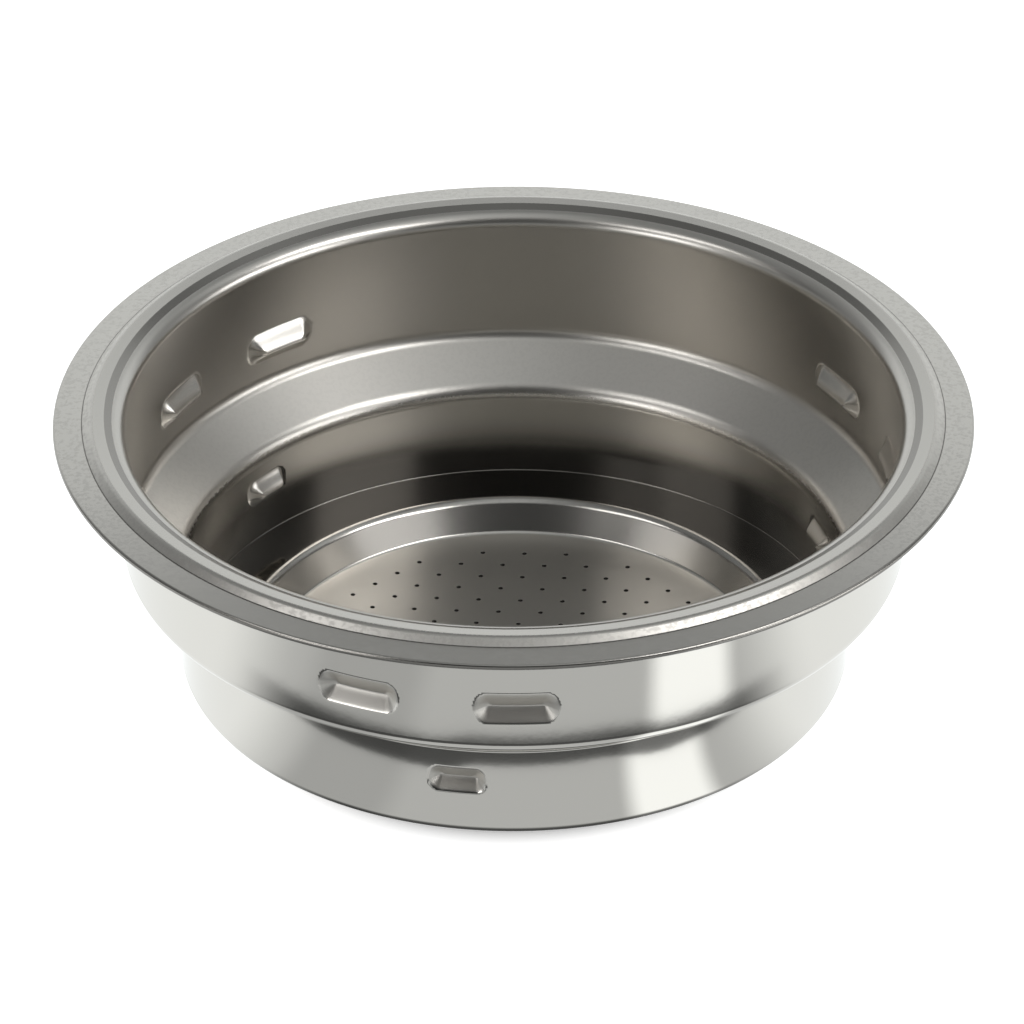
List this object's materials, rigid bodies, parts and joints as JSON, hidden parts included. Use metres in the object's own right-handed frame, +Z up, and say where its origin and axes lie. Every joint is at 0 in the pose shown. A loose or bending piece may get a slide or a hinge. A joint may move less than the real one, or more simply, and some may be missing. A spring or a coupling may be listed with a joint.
{
  "type": "espresso filter basket",
  "caption": "Pressed steel filter basket: flanged cup with a raised gasket crown, stepped walls, retaining dents and a finely perforated floor.",
  "frame": {"origin": "on the axis, at the underside of the perforated floor, where the basket stands", "axes": "+Z up along the basket's axis, out of its mouth; -Y through the middle of one group of dents"},
  "size_m": [0.06, 0.06, 0.021],
  "materials": {
    "stainless_steel": "drawn stainless sheet: polished outside, satin flange and inside, fine galling on the tight bends"
  },
  "bodies": {
    "root": {"filter_basket": "stainless_steel"}
  },
  "joints": []
}
